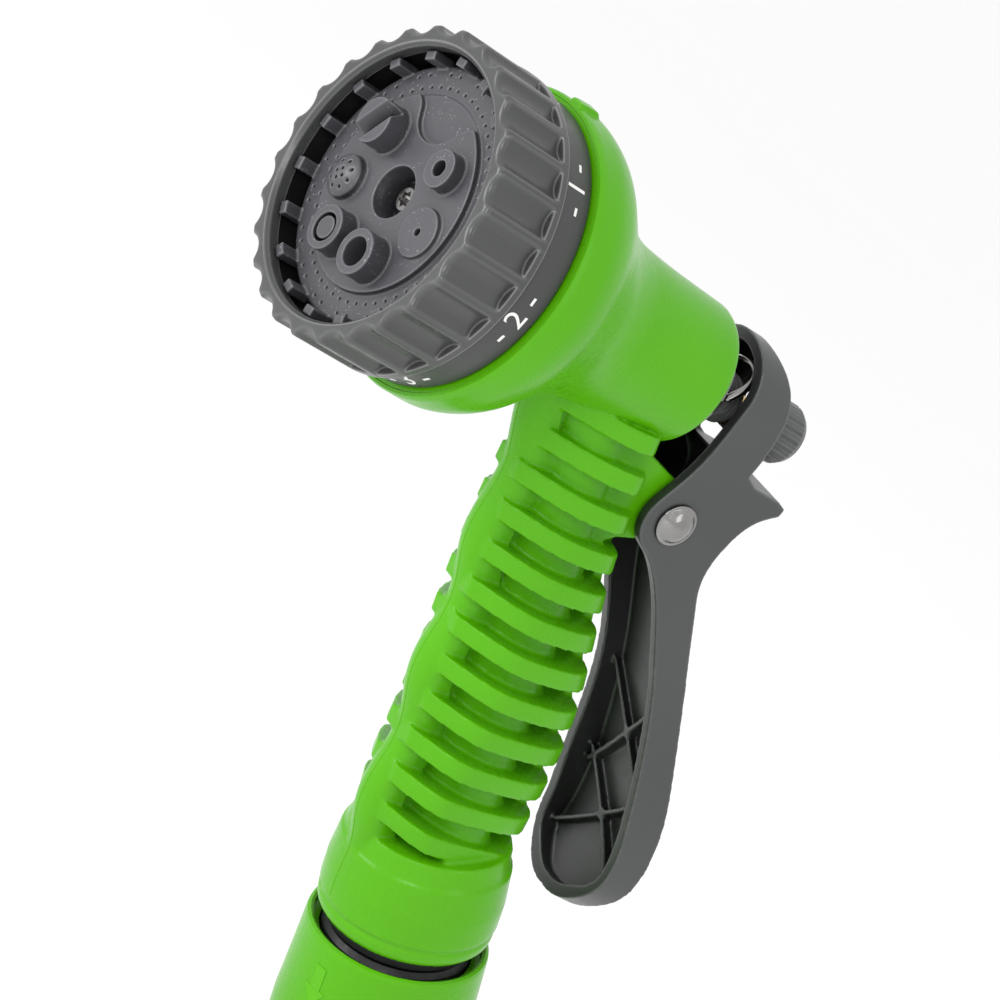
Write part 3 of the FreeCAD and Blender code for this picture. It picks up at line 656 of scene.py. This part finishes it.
def build_rivet():
    """Domed head with a thin rim, shank, and clinched end on the far side."""
    head = lathe("rivet_head", [(0.01, 13.1, 0), (1.9, 12.95, 0.8), (3.0, 12.45, 1.0), (3.75, 11.75, 0.3),
                                (4.35, 11.62, 0.15), (4.35, 11.15, 0.1), (0.01, 11.15, 0)], round_pivot, 64)
    shank = lathe("rivet_shank", [(0.01, -12.0, 0), (2.0, -12.0, 0.1), (2.0, 11.3, 0.1), (0.01, 11.3, 0)],
                  round_pivot, 48)
    clinch = lathe("rivet_clinch", [(0.01, -13.2, 0), (2.7, -12.7, 0.4), (3.1, -11.95, 0.2),
                                    (0.01, -11.95, 0)], round_pivot, 64)
    mesh = join_meshes("rivet_steel", [head, shank, clinch])
    smooth_by_angle(mesh, 40)
    piece("rivet_steel", mesh, "housing_body", STEEL, ["pivot_rivet"])


# ------------------------------------------------------------------ springs
def soft_spring(node):
    """Steel stand-in for a CAD spring: a copy of its mesh on the spring's own body."""
    made = piece(node + "_soft", NODES[node].data.copy(), body_of(NODES[node])[0], STEEL, [node])
    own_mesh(made)


def build_springs():
    """Steel stand-ins for the return spring, which the stem slides back against, and the collar spring, which
    the collar slides down against.
    """
    soft_spring("return_spring")
    soft_spring("collar_spring")


# ------------------------------------------------------------------ small mouldings
BEAD_SIDES = 8


def follow(name, path, radius):
    """Round bead along a path of points, thinner at its two closed ends."""
    turns = [TAU * k / BEAD_SIDES for k in range(BEAD_SIDES)]
    rows = []
    for i, here in enumerate(path):
        ahead = path[min(i + 1, len(path) - 1)] - path[max(i - 1, 0)]
        u = ahead.normalized().cross(Vector((1, 0, 0)))
        u = u.normalized() if u.length > 0.1 else Vector((0, 1, 0))
        w = ahead.normalized().cross(u)
        taper = 0.5 if i in (0, len(path) - 1) else 1.0
        rows.append([here + (u * math.cos(a) + w * math.sin(a)) * radius * taper for a in turns])
    return capped_grid(name, rows)


def on_skin(tree, start, towards):
    """First point of a skin met from start, or None."""
    return tree.ray_cast(start, towards.normalized())[0]


def build_parting_line(skin):
    """Thin flash line down the front of the handle, broken where the skin steps."""
    tree = BVHTree.FromObject(skin, bpy.context.evaluated_depsgraph_get())
    runs = [[]]
    for i in range(160):
        hit = on_skin(tree, handle(TUBE_TOP + 0.72 * i, -60), BEHIND)
        if hit and runs[-1] and (hit - runs[-1][-1]).length > 2 * MM:
            runs.append([])
        if hit:
            runs[-1].append(hit)
    beads = [follow("flash", run, 0.13 * MM) for run in runs if len(run) > 4]
    mesh = join_meshes("parting_line", beads)
    smooth_by_angle(mesh, 60)
    # lighter green: painted highlight on the flash line
    piece("parting_line", mesh, "housing_body", GREEN_BEAD_HIGHLIT)


ARROW_SIDE = 164.0                         # degrees from the back of the handle round to the arrow
ARROW_TOP = 142.0
ARROW = [(-1.3, 0.0), (1.3, 0.0), (1.3, 5.0), (2.9, 5.0), (0.0, 9.0), (-2.9, 5.0), (-1.3, 5.0)]
ARROW_SPLIT = 6                            # points on each edge, so that it bends round the collar


def build_arrow():
    """Raised arrow on the release collar, pointing the way the collar slides."""
    rows = []
    for lift in (-0.35, 0.22):
        row = []
        for i, (a, s) in enumerate(ARROW):
            b, e = ARROW[(i + 1) % len(ARROW)]
            for k in range(ARROW_SPLIT):
                u, v = a + (b - a) * k / ARROW_SPLIT, s + (e - s) * k / ARROW_SPLIT
                radius = 18.75 + 0.049 * (v + 3.5) + lift
                row.append(around_handle(radius, ARROW_SIDE + math.degrees(u / radius), ARROW_TOP + v))
        rows.append(row)
    mesh = capped_grid("collar_arrow", rows)
    # lighter green: painted highlight on the arrow
    piece("collar_arrow", mesh, "release_collar", GREEN_BEAD_HIGHLIT)


GRIPS, GRIP_STEP, GRIP_TOP, GRIP_HALF = 9, 3.0, -72.0, 12


def build_grip(skin):
    """Row of low grip ridges across the back of the lever's paddle."""
    tree = BVHTree.FromObject(skin, bpy.context.evaluated_depsgraph_get())
    meshes = []
    for i in range(GRIPS):
        starts = [spray(x, 175, GRIP_TOP - GRIP_STEP * i) for x in range(-GRIP_HALF, GRIP_HALF + 1)]
        hits = [on_skin(tree, start, Vector((0, -1, 0))) for start in starts]
        path = [hit for hit in hits if hit]
        if len(path) > 4:
            meshes.append(follow("grip", path, 0.7 * MM))
    mesh = join_meshes("grip_ridges", meshes)
    smooth_by_angle(mesh, 60)
    piece("grip_ridges", mesh, "lever_body", LEVER)


# ------------------------------------------------------------------ stage, lights, camera
FLOOR_HALF = 40.0


def build_stage():
    """Plain pale floor under the object."""
    low = CAD_BOX[0].z
    corners = [(x * FLOOR_HALF, y * FLOOR_HALF, low) for x, y in ((-1, -1), (1, -1), (1, 1), (-1, 1))]
    mesh = mesh_of("floor", corners, [(0, 1, 2, 3)])
    floor = bpy.data.objects.new("floor", mesh)
    bpy.context.scene.collection.objects.link(floor)
    material, tree, shader = new_material("pale_floor")
    tree.links.new(grey_ramp(tree, noise(tree, 3.0), 0.962, 0.968), shader.inputs["Base Color"])
    shader.inputs["Roughness"].default_value = 0.9
    shader.inputs["Specular IOR Level"].default_value = 0.1
    mesh.materials.append(material)


def build_world():
    """Even white light from all round."""
    world = bpy.data.worlds.new("studio")
    bpy.context.scene.world = world
    world.use_nodes = True
    back = world.node_tree.nodes["Background"]
    back.inputs["Color"].default_value = (1.0, 1.0, 1.0, 1.0)
    back.inputs["Strength"].default_value = 1.0


CAMERA_AZIMUTH, CAMERA_RISE, CAMERA_ROLL = 47.931, 10.294, 38.712      # degrees
CAMERA_PLACE = spray(565.81, -442.60, 99.75)
LENS = 149.85                                                          # mm, on a 36 mm sensor


def camera_axes():
    """Right, up and back of the camera from its three angles."""
    a, e, r = map(math.radians, (CAMERA_AZIMUTH, CAMERA_RISE, CAMERA_ROLL))
    back = Vector((math.sin(a) * math.cos(e), -math.cos(a) * math.cos(e), math.sin(e)))
    level = Vector((math.cos(a), math.sin(a), 0))
    upright = back.cross(level)
    right = level * math.cos(r) + upright * math.sin(r)
    return right, back.cross(right), back


def build_camera():
    """Camera at the photograph's viewing angle."""
    lens = bpy.data.cameras.new("camera")
    lens.lens = LENS
    lens.sensor_width = 36.0
    lens.clip_start, lens.clip_end = 0.05, 60.0
    camera = bpy.data.objects.new("camera", lens)
    bpy.context.scene.collection.objects.link(camera)
    right, up, back = camera_axes()
    turned = Matrix((right, up, back)).transposed().to_4x4()
    camera.matrix_world = Matrix.Translation(CAMERA_PLACE) @ turned
    bpy.context.scene.camera = camera


def softbox(name, side, rise, distance, size, power):
    """Area light aimed at the object, from an azimuth and elevation as the camera's are measured."""
    centre = (CAD_BOX[0] + CAD_BOX[1]) / 2
    a, e = math.radians(side), math.radians(rise)
    away = Vector((math.sin(a) * math.cos(e), -math.cos(a) * math.cos(e), math.sin(e)))
    data = bpy.data.lights.new(name, "AREA")
    data.shape = "RECTANGLE"
    data.size, data.size_y = size
    data.energy = power
    light = bpy.data.objects.new(name, data)
    bpy.context.scene.collection.objects.link(light)
    light.location = centre + away * distance
    light.rotation_mode = "QUATERNION"
    light.rotation_quaternion = (-away).to_track_quat("-Z", "Y")


def build_lights():
    """Broad key from the front left, a fill by the camera and a tall box at the side."""
    softbox("key", -18, 12, 1.0, (0.45, 0.45), 4.6)
    softbox("front", 36, 24, 1.2, (0.35, 0.35), 3.6)
    softbox("side", 100, 30, 1.1, (0.3, 0.8), 1.2)


bpy.context.scene.view_settings.view_transform = "Standard"
paint_nodes()
housing_skin = build_housing()
build_bell()
lever_skin = build_lever()
build_dial()
build_band()
build_legends()
build_face()
build_rivet()
build_springs()
build_parting_line(housing_skin)
build_arrow()
build_grip(lever_skin)
build_stage()
build_world()
build_camera()
build_lights()
